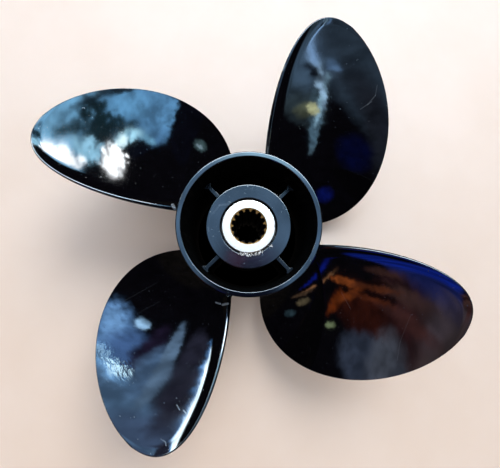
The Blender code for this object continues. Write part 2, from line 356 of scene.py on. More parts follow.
@dataclass
class SatinPaint(Surface):
    """Satin black paint on machined faces, rubbed in rings about the shaft and handled."""

    roughness: float
    mottling: float
    refraction: float = 1.5
    tint: Colour = (0.0015, 0.002, 0.003)
    worn: Colour = (0.09, 0.12, 0.15)
    blotch_size: float = 6.0
    nick_spacing: float = 2.4
    grain_size: float = 0.8
    # The colour of a brown patch, which the hub's face has toward the bottom.
    patch_colour: Colour = (0.03, 0.012, 0.02)
    brown_patch_place: Place = (0.0, 0.0, -900.0)
    brown_patch_size: float = 15.0
    scratches: Rows = ()

    def dress(self) -> None:
        """Paint the face, rub and nick it, and lay a brown patch on it."""
        across, along, _ = self.parts(self.place)
        ringed = self.node("CombineXYZ", {}, {0: self.radius * 0.9, 1: across * 0.05, 2: along * 0.05})
        rubbed = self.step(self.noise(ringed, 1.0, 3.0, 0.6), 0.48, 0.72)
        blotches = self.patches(self.blotch_size, 0.38, 0.68, 4.0, 0.6)
        nicks = self.patches(self.nick_spacing, 0.72, 0.77)
        marks = sum(Scratch(*row).mask(self) for row in self.scratches)
        # A brown patch around the given place, which the hub lays toward the bottom of its face, where that
        # face looks browner.
        from_brown_patch = self.vector("DISTANCE", self.place, self.brown_patch_place, output=1)
        frayed = from_brown_patch + self.lumps(4.0) * 6.0
        brown_patch = 1.0 - self.step(frayed, 0.4 * self.brown_patch_size, self.brown_patch_size)
        wear = blotches * 0.02 + rubbed * 0.12 + nicks * 0.3
        worn = self.clamped(wear * self.mottling + marks * 0.5)
        relief = self.lumps(self.grain_size) * 0.001
        relief = relief - rubbed * (0.006 * self.mottling) - nicks * 0.02
        colour = self.mix(worn, self.tint, self.worn)
        roughness = blotches * (0.05 * self.mottling) + nicks * 0.2 + self.roughness
        self.coat(brown_patch * 0.7, colour, self.patch_colour, roughness, relief, IOR=self.refraction)


@dataclass
class SootAndShadePaint(Surface):
    """Dull paint inside the exhaust passages, black with soot and painted shade: it barely reflects, so the
    passages stay dark.
    """

    soot_and_shade: Colour = (0.0012, 0.0011, 0.0010)
    paler: Colour = (0.010, 0.009, 0.008)
    streak_size: float = 3.0
    crumb_size: float = 0.7

    def dress(self) -> None:
        """Blacken the passage with soot and painted shade."""
        drawn = self.vector("MULTIPLY", self.place, (1.0, 1.0, 0.12))
        streaks = self.step(self.noise(drawn, self.streak_size, 4.0, 0.6), 0.5, 0.8) * 0.6
        crumbs = self.lumps(self.crumb_size, 3.0, 0.6)
        # Painted shade: the near-black colour and weak reflection keep the passages dark.
        self.coat(streaks, self.soot_and_shade, self.paler, 0.75 + crumbs * 0.2, crumbs * 0.08, IOR=1.06)


@dataclass
class MachinedMetal(Surface):
    """Bare machined metal with turned rings and pits, and grease and painted shade in the bore, black deep
    down and paling at its mouth, with painted glints on the upper teeth.
    """

    metal: Colour = (0.82, 0.77, 0.70)
    patch_colour: Colour = (0.34, 0.31, 0.27)
    # Gold at the bore's mouth, which also colours the painted glints on the upper teeth.
    mouth: Colour = (0.40, 0.25, 0.085)
    # Near-black grease and painted shade deep in the bore.
    grease_and_shade: Colour = (0.003, 0.002, 0.0015)
    bore_radius: float = 13.9
    face_height: float = 93.3
    ring_pitch: float = math.tau / 22.0
    pit_spacing: float = 0.9
    blotch_size: float = 3.2
    grain_size: float = 0.6

    def dress(self) -> None:
        """Turn and pit the metal, and darken the bore with grease and painted shade, leaving painted glints
        on its upper teeth.
        """
        across, along, height = self.parts(self.place)
        rings = self.maths("SINE", self.radius * (math.tau / self.ring_pitch))
        mouth = 1.0 - self.step(self.radius, self.bore_radius - 0.1, self.bore_radius + 0.5)
        wave = self.maths("COSINE", self.maths("ARCTAN2", along, across) * float(TEETH))
        # Painted glints: teeth in the upper half of the bore keep the mouth's gold further in.
        tooth = self.step(wave, -0.45, -0.85) * self.step(along, -7.0, 3.0)
        depth = self.face_height - height + self.lumps(1.6, 3.0) * 1.2 - tooth * 0.9
        # Painted shade with grease: the bore turns black with depth.
        grease_and_shade_share = mouth * self.step(depth, 1.2, 1.9)
        pits = self.patches(self.pit_spacing, 0.71, 0.75)
        blotches = self.patches(self.blotch_size, 0.58, 0.8, 4.0, 0.65)
        colour = self.mix(blotches * 0.3 + pits * 0.8, self.metal, self.patch_colour)
        relief = rings * 0.002 - pits * 0.05 + self.lumps(self.grain_size) * 0.006
        bare, metallic = self.mix(mouth, colour, self.mouth), 0.3 - grease_and_shade_share * 0.3
        roughness = 0.24 + blotches * 0.14 + mouth * 0.1 + grease_and_shade_share * 0.45
        self.coat(grease_and_shade_share, bare, self.grease_and_shade, roughness, relief, Metallic=metallic, IOR=1.12)


@dataclass
class TornSkin(Surface):
    """Shiny torn shreds of paint and metal at the lip of the hub's bore, pale, and brightened and tinted
    blue as a painted glint.
    """

    dark: Colour = (0.10, 0.12, 0.15)
    # Pale bare metal, brightened and tinted blue as a painted glint.
    pale: Colour = (0.95, 0.98, 1.0)
    crease_size: float = 1.1

    def dress(self) -> None:
        """Crease the shreds."""
        creases = self.lumps(self.crease_size, 3.0, 0.6)
        share = self.step(creases, 0.38, 0.48)
        self.coat(share, self.dark, self.pale, 0.18 + creases * 0.2, creases * 0.12, Coat_Weight=0.5)


@dataclass
class MouldedRubber(Surface):
    """Dull black rubber with a fine moulded grain."""

    dark: Colour = (0.012, 0.011, 0.010)
    pale: Colour = (0.05, 0.047, 0.042)
    bloom_size: float = 5.0
    grain_size: float = 0.5

    def dress(self) -> None:
        """Grain the rubber."""
        bloom = self.patches(self.bloom_size, 0.45, 0.8, 4.0, 0.6)
        grain = self.lumps(self.grain_size) * 0.05
        self.coat(bloom * 0.5, self.dark, self.pale, 0.6 + bloom * 0.2, grain)


@dataclass
class PlainFloor(Surface):
    """A plain pale floor with a faint grain."""

    pale: Colour = (0.84, 0.69, 0.59)
    paler: Colour = (0.87, 0.73, 0.64)
    cloud_size: float = 90.0
    grain_size: float = 1.2

    def dress(self) -> None:
        """Grain the floor."""
        clouds, grain = self.patches(self.cloud_size, 0.3, 0.7, 3.0), self.lumps(self.grain_size) * 0.02
        self.coat(clouds, self.pale, self.paler, 0.62, grain)


def placed(name: str, points: Array, faces: list[Any], finishes: tuple[Surface, ...]) -> bpy.types.Object:
    """Add an object to the scene.

    Args:
        name: Its name.
        points: The places of its corners, in an array of any depth.
        faces: The numbers of each face's corners.
        finishes: Its finishes.

    Returns:
        The object.
    """
    mesh = bpy.data.meshes.new(name)
    mesh.from_pydata(points.reshape(-1, 3).tolist(), [], faces)
    for finish in finishes:
        mesh.materials.append(finish.material)
    made = bpy.data.objects.new(name, mesh)
    bpy.context.scene.collection.objects.link(made)
    return made


def add_piece(
    name: str,
    rings: Array,
    ends: Ends,
    finishes: tuple[Surface, ...],
    replaced: tuple[str, ...] = (),
    zones: Callable[[Array, Array], Array] | None = None,
) -> None:
    """Skin a stack of closed rings and add it to the part.

    Args:
        name: The piece's name.
        rings: Points as an array of ring, point round the ring, and x, y, z.
        ends: How the first and last ring are closed.
        finishes: The piece's finishes.
        replaced: The solids that the piece stands for.
        zones: Numbers the finish of each face, from the radius and height of its centre.
    """
    count, size = rings.shape[:2]
    corner = np.arange(count * size).reshape(count, size)
    upper = corner if ends is Ends.TORUS else corner[:-1]
    lower = np.roll(corner, -1, axis=0) if ends is Ends.TORUS else corner[1:]
    quads = np.stack([upper, np.roll(upper, -1, 1), np.roll(lower, -1, 1), lower], axis=-1)
    faces = quads.reshape(-1, 4).tolist()
    if ends is Ends.STRIPS:
        for ring, flip in ((corner[0], True), (corner[-1], False)):
            for i in range(size // 2 - 1):
                strip = [ring[i], ring[i + 1], ring[size - 2 - i], ring[size - 1 - i]]
                faces.append(strip[::-1] if flip else strip)
    piece = placed(name, rings, faces, finishes)
    mesh = piece.data
    turn_outward(mesh)
    mesh.shade_smooth()
    mesh.set_sharp_from_angle(angle=math.radians(SHARP_ANGLE))
    if zones is not None:
        x, y, z = np.array([polygon.center[:] for polygon in mesh.polygons]).T
        mesh.polygons.foreach_set("material_index", zones(np.hypot(x, y), z).astype(np.int32))
    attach(piece, BODY)
    if replaced:
        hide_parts(*replaced)
    LOG.info("%s: %d faces", name, len(mesh.polygons))


def turn_outward(mesh: bpy.types.Mesh) -> None:
    """Make a closed mesh's faces point outward.

    Args:
        mesh: The mesh, whose faces all point in or all point out.
    """
    mesh.calc_loop_triangles()
    places = np.array([vertex.co[:] for vertex in mesh.vertices])
    triangles = places[np.array([triangle.vertices[:] for triangle in mesh.loop_triangles])]
    volume = np.einsum("ij,ij->i", triangles[:, 0], np.cross(triangles[:, 1], triangles[:, 2])).sum()
    if volume < 0:
        mesh.flip_normals()


def rounded(*profile: tuple[float, float, float], steps: int = 5) -> Array:
    """Round the corners of a closed profile, with a point beside each so that flat faces shade flat.

    Args:
        profile: Corners as radius, height and rounding.
        steps: How many pieces each rounding has.

    Returns:
        Points as an array of radius and height.
    """
    points = []
    beside = 1.2
    for i, (radius, height, rounding) in enumerate(profile):
        corner = np.array([radius, height])
        before, after = (np.array(profile[j % len(profile)][:2]) - corner for j in (i - 1, i + 1))
        start = before / np.linalg.norm(before) * rounding
        end = after / np.linalg.norm(after) * rounding
        points.append(corner + beside * start)
        for share in np.linspace(0, 1, steps + 1):
            points.append(corner + (1 - share) ** 2 * start + share**2 * end)
        points.append(corner + beside * end)
    return np.array(points)


def polar(radius: Array, azimuth: Array, height: Array) -> Array:
    """Points at distances and directions from the shaft axis, and at heights."""
    places = np.broadcast_arrays(radius * np.cos(azimuth), radius * np.sin(azimuth), height)
    return np.stack(places, axis=-1)


def turned(profile: Array, segments: int) -> Array:
    """Rings of points, one for each point of a profile that is turned about the shaft axis."""
    azimuth = np.linspace(0, math.tau, segments, endpoint=False)
    return polar(profile[:, :1], azimuth, profile[:, 1:])


def quarter_round(steps: int) -> tuple[Array, Array]:
    """Distances from the wall and reaches sideways of a quarter-round fillet of radius 1."""
    angle = np.linspace(0, math.pi / 2, steps + 1)
    return 1 - np.cos(angle), 1 - np.sin(angle)


def toward(azimuth: float, elevation: float) -> Vector:
    """The direction at an azimuth and elevation in degrees, of length 1."""
    around, up = math.radians(azimuth), math.radians(elevation)
    return Vector((math.cos(up) * math.cos(around), math.cos(up) * math.sin(around), math.sin(up)))


def outer_radius(solid: str) -> float:
    """The outer radius of a solid about the shaft axis."""
    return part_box(solid)[1][0]


def front_end(solid: str) -> float:
    """The height of a solid's front end."""
    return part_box(solid)[0][2]


def aft_end(solid: str) -> float:
    """The height of a solid's aft end."""
    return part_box(solid)[1][2]


@dataclass
class Measures:
    """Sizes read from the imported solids, which every sub-assembly builds on."""

    barrel_length: float = aft_end("barrel")
    front_radius: float = outer_radius("barrel")
    hub_radius: float = outer_radius("inner_hub")
    hub_front: float = front_end("inner_hub")
    hub_aft: float = aft_end("inner_hub")
    rib_front: float = front_end("rib_1")
    rib_aft: float = aft_end("rib_1")
    bushing_radius: float = outer_radius("rubber_bushing")
    bushing_front: float = front_end("rubber_bushing")
    bushing_aft: float = aft_end("rubber_bushing")
    collar_radius: float = outer_radius("splined_sleeve")
    sleeve_front: float = front_end("splined_sleeve")
    sleeve_aft: float = aft_end("splined_sleeve")
    barrel_taper: float = 1.9 * MM
    rim_wall: float = 3.7 * MM
    rim_opening: float = 1.8 * MM
    front_wall: float = 4.0 * MM
    counterbore_depth: float = 8.0 * MM
    lip_clearance: float = 1.6 * MM
    lip_thickness: float = 8.8 * MM
    collar_overhang: float = 3.6 * MM
    gap: float = 0.3 * MM

    @property
    def rim_radius(self) -> float:
        """The barrel's outer radius at the aft rim."""
        return self.front_radius - self.barrel_taper

    @property
    def rim_inner_radius(self) -> float:
        """The barrel's inner radius at the aft rim."""
        return self.rim_radius - self.rim_wall

    @property
    def passage_radius(self) -> float:
        """The barrel's inner radius between the ribs."""
        return self.rim_inner_radius - self.rim_opening

    @property
    def sleeve_radius(self) -> float:
        """The sleeve's outer radius inside the bushing."""
        return self.collar_radius - self.collar_overhang


@dataclass
class Casting:
    """The painted casting: barrel, inner hub and ribs."""

    sizes: Measures
    soot_and_shade: Surface = field(default_factory=lambda: SootAndShadePaint("passage_soot_and_shade"))
    rib_satin: Surface = field(
        default_factory=lambda: SatinPaint("rib_satin", roughness=0.2, mottling=0.5, refraction=1.3)
    )
    segments: int = 288
    rib_half_thickness: float = 1.75 * MM
    rib_foot_half: float = 3.4 * MM
    rib_flange: float = 1.2 * MM
    rib_sweep: float = 1.8 * MM
    rib_hub_fillet: float = 1.2 * MM
    rib_edge_round: float = 0.6 * MM
    rib_embed: float = 0.5 * MM
    rib_steps: int = 8
    rim_paint_depth: float = 0.7 * MM
    hub_paint_depth: float = 1.0 * MM

    def barrel(self) -> None:
        """Build the barrel, glossy outside, satin on its machined aft rim and black inside with soot and
        painted shade.
        """
        s = self.sizes
        counterbore = s.front_radius - s.front_wall
        profile = rounded(
            (s.front_radius, 0.0, 0.9 * MM),
            (s.rim_radius, s.barrel_length, 0.75 * MM),
            (s.rim_inner_radius, s.barrel_length, 0.6 * MM),
            (s.passage_radius, s.rib_aft, 4.0 * MM),
            (s.passage_radius, s.counterbore_depth, 1.0 * MM),
            (counterbore, s.counterbore_depth, 1.0 * MM),
            (counterbore, 0.0, 0.5 * MM),
        )

        def zones(radius: Array, height: Array) -> Array:
            """The faces' finishes: 0 outside, 1 on the aft rim, 2 inside."""
            inside = (radius < s.rim_inner_radius) | ((radius < counterbore) & (height < s.rib_front))
            return np.where(height > s.barrel_length - self.rim_paint_depth, 1, 2 * inside)

        gloss, satin = GlossPaint("barrel_gloss"), SatinPaint("rim_satin", roughness=0.06, mottling=0.3)
        rings, finishes = turned(profile, self.segments), (gloss, satin, self.soot_and_shade)
        add_piece("barrel_casting", rings, Ends.TORUS, finishes, ("barrel",), zones)

    @staticmethod
    def soot_and_shade_below(limit: float) -> Callable[[Array, Array], Array]:
        """Zones with the second finish wherever the height is under a limit."""
        return lambda radius, height: height < limit

    def inner_hub(self) -> None:
        """Build the inner hub, black with soot and painted shade below its scratched aft face, which has a
        brown patch toward the bottom.
        """
        s = self.sizes
        lip_radius = s.collar_radius + s.lip_clearance
        lip_underside = s.hub_aft - s.lip_thickness
        pocket_radius = s.bushing_radius + s.gap
        profile = rounded(
            (s.hub_radius, s.hub_front, 1.2 * MM),
            (s.hub_radius, s.hub_aft, 0.8 * MM),
            (lip_radius, s.hub_aft, 0.5 * MM),
            (lip_radius, lip_underside, 0.4 * MM),
            (pocket_radius, lip_underside, 0.8 * MM),
            (pocket_radius, s.hub_front, 0.8 * MM),
        )
        satin = SatinPaint(
            "hub_satin",
            roughness=0.09,
            mottling=0.7,
            refraction=1.46,
            # A brown patch toward the bottom of the aft face, where the face looks browner.
            brown_patch_place=(-9.0, -24.0, 92.8),
            scratches=HUB_SCRATCHES,
        )
        rings, finishes = turned(profile, self.segments), (satin, self.soot_and_shade)
        zones = self.soot_and_shade_below(s.hub_aft - self.hub_paint_depth)
        add_piece("hub_casting", rings, Ends.TORUS, finishes, ("inner_hub",), zones)

    def rib(self, number: int, azimuth: float) -> None:
        """Build one rib, black with soot and painted shade below its aft edge, with a fillet at the hub and
        a flat flange at the barrel.

        Args:
            number: The rib's number.
            azimuth: Where it stands, in radians.
        """
        s = self.sizes
        outer = s.passage_radius + self.rib_embed
        away, sideways = quarter_round(self.rib_steps)
        foot = self.rib_flange + away * self.rib_sweep
        from_wall = np.concatenate([[-self.rib_embed, 0.4 * self.rib_flange], foot])
        near = s.hub_radius - self.rib_embed + away * self.rib_hub_fillet
        middle = np.linspace(near[-1], s.passage_radius - foot[-1], self.rib_steps)[1:-1]
        far = (s.passage_radius - from_wall)[::-1]
        spread = (self.rib_foot_half - self.rib_half_thickness) * np.concatenate([[1, 1], sideways])[::-1]
        widening = np.concatenate([sideways * self.rib_hub_fillet, np.zeros(len(middle)), spread])
        halves = self.rib_half_thickness + widening
        rings = []
        for radius, half in zip(np.concatenate([near, middle, far]), halves):
            corners = [(-half, s.rib_front), (-half, s.rib_aft), (half, s.rib_aft), (half, s.rib_front)]
            outline = rounded(*((*corner, self.rib_edge_round) for corner in corners), steps=4)
            turn = azimuth + np.arcsin(outline[:, 0] / min(radius, outer))
            rings.append(polar(radius, turn, outline[:, 1]))
        zones = self.soot_and_shade_below(s.rib_aft - self.rib_edge_round)
        name, skin = f"rib_{number}", np.roll(np.array(rings), -3, axis=1)
        finishes = (self.rib_satin, self.soot_and_shade)
        add_piece(f"{name}_casting", skin, Ends.STRIPS, finishes, (name,), zones)


@dataclass
class Blade:
    """One blade: sections on cylinders about the shaft, with a cupped trailing edge."""

    sizes: Measures
    tip_radius: float = 171.5 * MM
    last_share: float = 0.9997
    rise_per_radian: float = 406.0 * MM / math.tau
    rake: float = math.tan(math.radians(19.3))
    root_height: float = 45.7 * MM
    lead: float = math.radians(0.6)
    skew: float = math.radians(18.0)
    skew_power: float = 2.2
    root_half_width: float = 29.6 * MM
    middle_half_width: float = 62.6 * MM
    outer_half_width: float = 68.0 * MM
    tip_half_width: float = 2.0 * MM
    tip_roundness: float = 3.26
    root_crown: float = 9.0 * MM
    tip_crown: float = 1.2 * MM
    leading_thickness: float = 1.6 * MM
    root_trailing_thickness: float = 4.6 * MM
    tip_trailing_thickness: float = 2.6 * MM
    trailing_roundness: float = 0.48
    most_rounded: float = 0.98
    cup_height: float = 1.6 * MM
    cup_width: float = 9.0 * MM
    side_fillet: float = 7.0 * MM
    end_fillet: float = 3.2 * MM
    root_embed: float = 0.15 * MM
    face_points: int = 54
    nose_points: int = 9
    corner_steps: int = 6
    fillet_steps: int = 12
    span_rings: int = 84
    ring_crowding: float = 1.8

    def half_width(self, share: Array) -> Array:
        """Half the blade's width along its arc.

        Args:
            share: Shares of the span, from root to tip.

        Returns:
            The half widths.
        """
        through_root = (1 - share) * (1 - 2 * share) * self.root_half_width
        through_middle = 4 * share * (1 - share) * self.middle_half_width
        through_outer = share * (2 * share - 1) * self.outer_half_width
        return self.tip_rounding(share) * (through_root + through_middle + through_outer)

    def tip_rounding(self, share: Array) -> Array:
        """One over most of the span, falling to nothing at the tip."""
        return np.sqrt(1 - share**self.tip_roundness)

    def edge_slants(self, share: Array, radius: Array, span: float) -> tuple[Array, Array]:
        """How much longer the edges' rounding is along a section than straight across the edge.

        Args:
            share: Shares of the span.
            radius: Distances from the shaft axis.
            span: From the root to the tip.

        Returns:
            The factors for the leading and the trailing edge.
        """
        small = 1e-4
        narrowing = (self.half_width(share) - self.half_width(share + small)) / (small * span)
        drift = radius * self.skew * self.skew_power * share ** (self.skew_power - 1) / span
        return np.hypot(1, narrowing + drift), np.hypot(1, narrowing - drift)

    def section_path(self) -> tuple[Array, Array, Array]:
        """The points round a section: aft face, trailing edge, forward face, leading edge.

        Returns:
            For each point: its place across the blade from -1 to 1, the direction in degrees in
            which the skin faces there, and the kind of its place: 0 on a face, 1 on the leading
            nose, 2 on a trailing corner.
        """
        across = -np.cos(np.linspace(0, math.pi, self.face_points))
        nose = np.linspace(270, 90, self.nose_points + 2)[1:-1]
        corner = np.linspace(90, -90, 2 * self.corner_steps + 1)[1:-1]
        places = (across, np.ones(len(corner)), across[::-1], -np.ones(len(nose)))
        headings = (np.full(len(across), 90.0), corner, np.full(len(across), -90.0), nose)
        kinds = [np.full(len(place), kind) for place, kind in zip(places, (0, 2, 0, 1))]
        return np.concatenate(places), np.concatenate(headings), np.concatenate(kinds)

    def skin(self, share: Array, reach: Array) -> Array:
        """Points of the skin for one ring.

        Args:
            share: The share of the span at which each point of the section stands.
            reach: How far the root fillet pushes each point out.

        Returns:
            The points, for a blade whose root stands at azimuth 0.
        """
        s = self.sizes
        across, heading, kind = self.section_path()
        root_radius = s.front_radius - s.barrel_taper * self.root_height / s.barrel_length
        span = self.tip_radius - root_radius
        radius = root_radius + share * span
        slope = np.arctan2(self.rise_per_radian, radius)
        half_chord = np.maximum(self.half_width(share), self.tip_half_width) / np.cos(slope)
        tip_rounding = self.tip_rounding(share)
        spread = self.root_trailing_thickness - self.leading_thickness
        spread = spread + share * (self.tip_trailing_thickness - self.root_trailing_thickness)
        trailing = self.leading_thickness + spread * tip_rounding
        edge = self.leading_thickness + (trailing - self.leading_thickness) * (1 + across) / 2
        crown = self.root_crown + share * (self.tip_crown - self.root_crown)
        thickness = edge + crown * (1 - across**2) * tip_rounding**2
        nose, corner = self.leading_thickness / 2, self.trailing_roundness * trailing
        leading_slant, trailing_slant = self.edge_slants(share, radius, span)
        nose_reach, corner_reach = nose * leading_slant, corner * trailing_slant
        room = np.minimum(1.0, self.most_rounded * 2 * half_chord / (nose_reach + corner_reach))
        nose_reach, corner_reach = nose_reach * room, corner_reach * room
        facing = np.radians(heading)
        outward, upward = np.cos(facing), np.sin(facing)
        side = np.sign(upward + 1e-9)
        flat_half = half_chord - (nose_reach + corner_reach) / 2
        along = across * flat_half + (nose_reach - corner_reach) / 2
        along = np.where(kind == 1, -half_chord + nose_reach * (1 + outward), along)
        along = np.where(kind == 2, half_chord - corner_reach * (1 - outward), along)
        offset = np.where(kind == 1, nose * upward, side * thickness / 2)
        offset = np.where(kind == 2, side * (trailing / 2 - corner) + corner * upward, offset)
        from_trailing = (half_chord - along) / trailing_slant
        cup = np.maximum(0.0, 1 - from_trailing / self.cup_width) ** 2
        offset = offset + self.cup_height * tip_rounding * cup + reach * upward
        along = along + reach * outward
        azimuth = self.skew * share**self.skew_power
        height = self.root_height + share * span * self.rake + self.rise_per_radian * azimuth
        height = height + along * np.sin(slope) + offset * np.cos(slope)
        azimuth = azimuth + (along * np.cos(slope) - offset * np.sin(slope)) / radius
        seat = s.front_radius - s.barrel_taper * height / s.barrel_length - self.root_embed
        true_radius = seat + share * (self.tip_radius - seat)
        return polar(true_radius, azimuth, height)

    def rings(self) -> Array:
        """The whole skin, from the fillet's foot on the barrel to the tip.

        Returns:
            Rings of points.
        """
        across, _, _ = self.section_path()
        span = self.tip_radius - self.sizes.rim_radius
        fillet = self.end_fillet + (self.side_fillet - self.end_fillet) * (1 - across**2) ** 0.5
        away, sideways = quarter_round(self.fillet_steps)
        rings = [self.skin(fillet * d / span, fillet * reach) for d, reach in zip(away, sideways)]
        start = fillet / span
        for step in np.linspace(0, 1, self.span_rings)[1:]:
            eased = 1 - (1 - step) ** self.ring_crowding
            rings.append(self.skin(start + (self.last_share - start) * eased, np.zeros_like(start)))
        return np.array(rings)

    def build(self, number: int, azimuth: float) -> None:
        """Add the blade.

        Args:
            number: The blade's number.
            azimuth: Where it stands, in radians.
        """
        name, crinkles = f"blade_{number}", BLADE_CRINKLES.get(number, ())
        paint = GlossPaint(f"{name}_gloss", azimuth, scratches=BLADE_SCRATCHES_AND_GLINTS[number], crinkles=crinkles)
        turn = np.array(Matrix.Rotation(azimuth + self.lead, 3, "Z"))
        skin = np.roll(self.rings() @ turn.T, self.nose_points // 2, axis=1)
        add_piece(f"{name}_casting", skin, Ends.STRIPS, (paint,), (name,))


@dataclass
class ShaftMount:
    """The splined sleeve, the rubber bushing round it and the torn shreds in the hub's mouth."""

    sizes: Measures
    major_radius: float = 12.7 * MM
    tooth_depth: float = 1.45 * MM
    flank_start: float = 0.40
    flank_width: float = 0.24
    mouth_radius: float = 13.9 * MM
    mouth_depth: float = 2.0 * MM
    tooth_setback: float = 0.4 * MM
    tooth_run_in: float = 1.8 * MM
    edge_slack: float = 0.1 * MM
    collar_height: float = 8.0 * MM
    nick_depth: float = 0.55 * MM
    nick_width: float = 1.5 * MM
    nick_height: float = 3.0 * MM
    nick_azimuth: float = 1.0
    nick_spread: float = 6.0
    points_per_tooth: int = 24
    bushing_segments: int = 180
    seed: int = 7
    shred_steps: int = 12
    shred_sides: int = 8
    shred_seat: float = 0.8
    shred_wander: float = 2.8 * MM
    shred_inward: float = 0.35
    shred_lift: float = 0.4 * MM
    shred_wave: float = 1.0 * MM
    shred_least_width: float = 0.5 * MM
    shred_ragged_width: float = 0.8 * MM
    shred_tip: float = 0.02
    shred_lean: float = 1.2
    shred_thickness: float = 0.12 * MM
    shred_azimuths: tuple[float, ...] = (-104.0, -96.0, -88.0, -79.0, -71.0, -64.0, -42.0)
    shred_lengths: tuple[float, ...] = (4.6, 5.2, 4.2, 5.4, 4.8, 4.0, 3.2)

    def sleeve(self) -> None:
        """Build the sleeve, whose teeth run in at both mouths, with a nick in its aft rim."""
        s = self.sizes
        collar_under = s.sleeve_aft - self.collar_height
        profile = rounded(
            (s.sleeve_radius, s.sleeve_front, 0.6 * MM),
            (s.sleeve_radius, collar_under, 0.5 * MM),
            (s.collar_radius, collar_under, 0.5 * MM),
            (s.collar_radius, s.sleeve_aft, 0.45 * MM),
            (self.mouth_radius, s.sleeve_aft, 0.25 * MM),
            (self.major_radius, s.sleeve_aft - self.mouth_depth, 0.3 * MM),
            (self.major_radius, s.sleeve_front + self.mouth_depth, 0.3 * MM),
            (self.mouth_radius, s.sleeve_front, 0.25 * MM),
        )
        azimuth = np.linspace(0, math.tau, TEETH * self.points_per_tooth, endpoint=False)
        radius, height = profile[:, :1], profile[:, 1:]
        in_bore = radius < self.mouth_radius + self.edge_slack
        from_end = np.minimum(s.sleeve_aft - height, height - s.sleeve_front)
        entry = np.clip((from_end - self.tooth_setback) / self.tooth_run_in, 0, 1)
        on_rim = (radius > s.collar_radius - self.nick_width) & (height > s.sleeve_aft - self.nick_height)
        from_nick = (np.degrees(azimuth) + 180 - self.nick_azimuth) % 360 - 180
        nick = on_rim * np.exp(-(from_nick**2) / self.nick_spread) * self.nick_depth
        wave = 0.5 - 0.5 * np.cos(azimuth * TEETH)
        flank = np.clip((wave - self.flank_start) / self.flank_width, 0, 1)
        tooth = in_bore * entry * self.tooth_depth * flank**2 * (3 - 2 * flank)
        radius = radius - tooth - nick
        rings = polar(radius, azimuth, height)
        finish = MachinedMetal("sleeve_machined")
        add_piece("splined_sleeve_turned", rings, Ends.TORUS, (finish,), ("splined_sleeve",))

    def bushing(self) -> None:
        """Build the rubber bushing."""
        s = self.sizes
        inner = s.sleeve_radius + s.gap / 3
        outer = s.bushing_radius + s.gap / 3
        profile = rounded(
            (outer, s.bushing_front, 1.4 * MM),
            (outer, s.bushing_aft, 0.8 * MM),
            (inner, s.bushing_aft, 0.5 * MM),
            (inner, s.bushing_front, 1.4 * MM),
        )
        rings, finish = turned(profile, self.bushing_segments), MouldedRubber("bushing_rubber")
        add_piece("bushing_moulding", rings, Ends.TORUS, (finish,), ("rubber_bushing",))

    def shreds(self) -> None:
        """Add the torn shreds."""
        s = self.sizes
        finish = TornSkin("torn_skin")
        draw = np.random.default_rng(self.seed)
        count = self.shred_steps
        middle = s.collar_radius + self.shred_seat * s.lip_clearance
        share = np.linspace(0, 1, count)
        taper = np.sqrt(np.sin(share * math.pi) + self.shred_tip)
        around = np.linspace(0, math.tau, self.shred_sides, endpoint=False)
        for number, (azimuth, length) in enumerate(zip(self.shred_azimuths, self.shred_lengths), 1):
            turn = math.radians(azimuth) + (share - 0.5) * length * MM / middle
            radius = middle + (draw.random(count) - self.shred_inward) * self.shred_wander
            height = s.hub_aft + self.shred_lift + draw.random(count) * self.shred_wave
            width = (self.shred_least_width + draw.random(count) * self.shred_ragged_width) * taper
            lean = (2 * draw.random(count) - 1) * self.shred_lean
            flat = np.cos(around) * width[:, None]
            thick = np.sin(around) * self.shred_thickness
            cosine, sine = np.cos(lean)[:, None], np.sin(lean)[:, None]
            out = radius[:, None] + flat * cosine - thick * sine
            rise = height[:, None] + flat * sine + thick * cosine
            rings = polar(out, turn[:, None], rise)
            add_piece(f"torn_shred_{number}", rings, Ends.STRIPS, (finish,))


@dataclass(frozen=True)
class SkyCard:
    """A soft-edged oval on the dome, placed by direction, with angles in degrees."""

    azimuth: float
    elevation: float
    half_width: float
    half_height: float
    colour: Colour
    turn: float
    softness: float
    raggedness: float

    def lay(self, graph: Graph, direction: Wire, fray: Wire, below: Wire) -> Wire:
        """Lay the card over what is there.

        Args:
            graph: The dome's graph.
            direction: The direction looked in.
            fray: Noise about 0, which roughens the card's edge.
            below: The dome's colour so far.

        Returns:
            The dome's colour with the card.
        """
        centre, level = toward(self.azimuth, self.elevation), toward(self.azimuth - 90.0, 0.0)
        steep = level.cross(centre)
        cosine, sine = math.cos(math.radians(self.turn)), math.sin(math.radians(self.turn))
        wide = (cosine * level + sine * steep) / math.tan(math.radians(self.half_width))
        high = (cosine * steep - sine * level) / math.tan(math.radians(self.half_height))
        ahead, across, along = (
            graph.vector("DOT_PRODUCT", direction, tuple(axis), output=1) for axis in (centre, wide, high)
        )
        square = (across * across + along * along) / graph.maths("MAXIMUM", ahead * ahead, 0.0001)
        inner, outer = (1 - self.softness) ** 2, (1 + self.softness) ** 2
        edge = graph.step(square + fray * self.raggedness, inner, outer)
        return graph.mix((1.0 - edge) * graph.maths("GREATER_THAN", ahead, 0.0), below, self.colour)


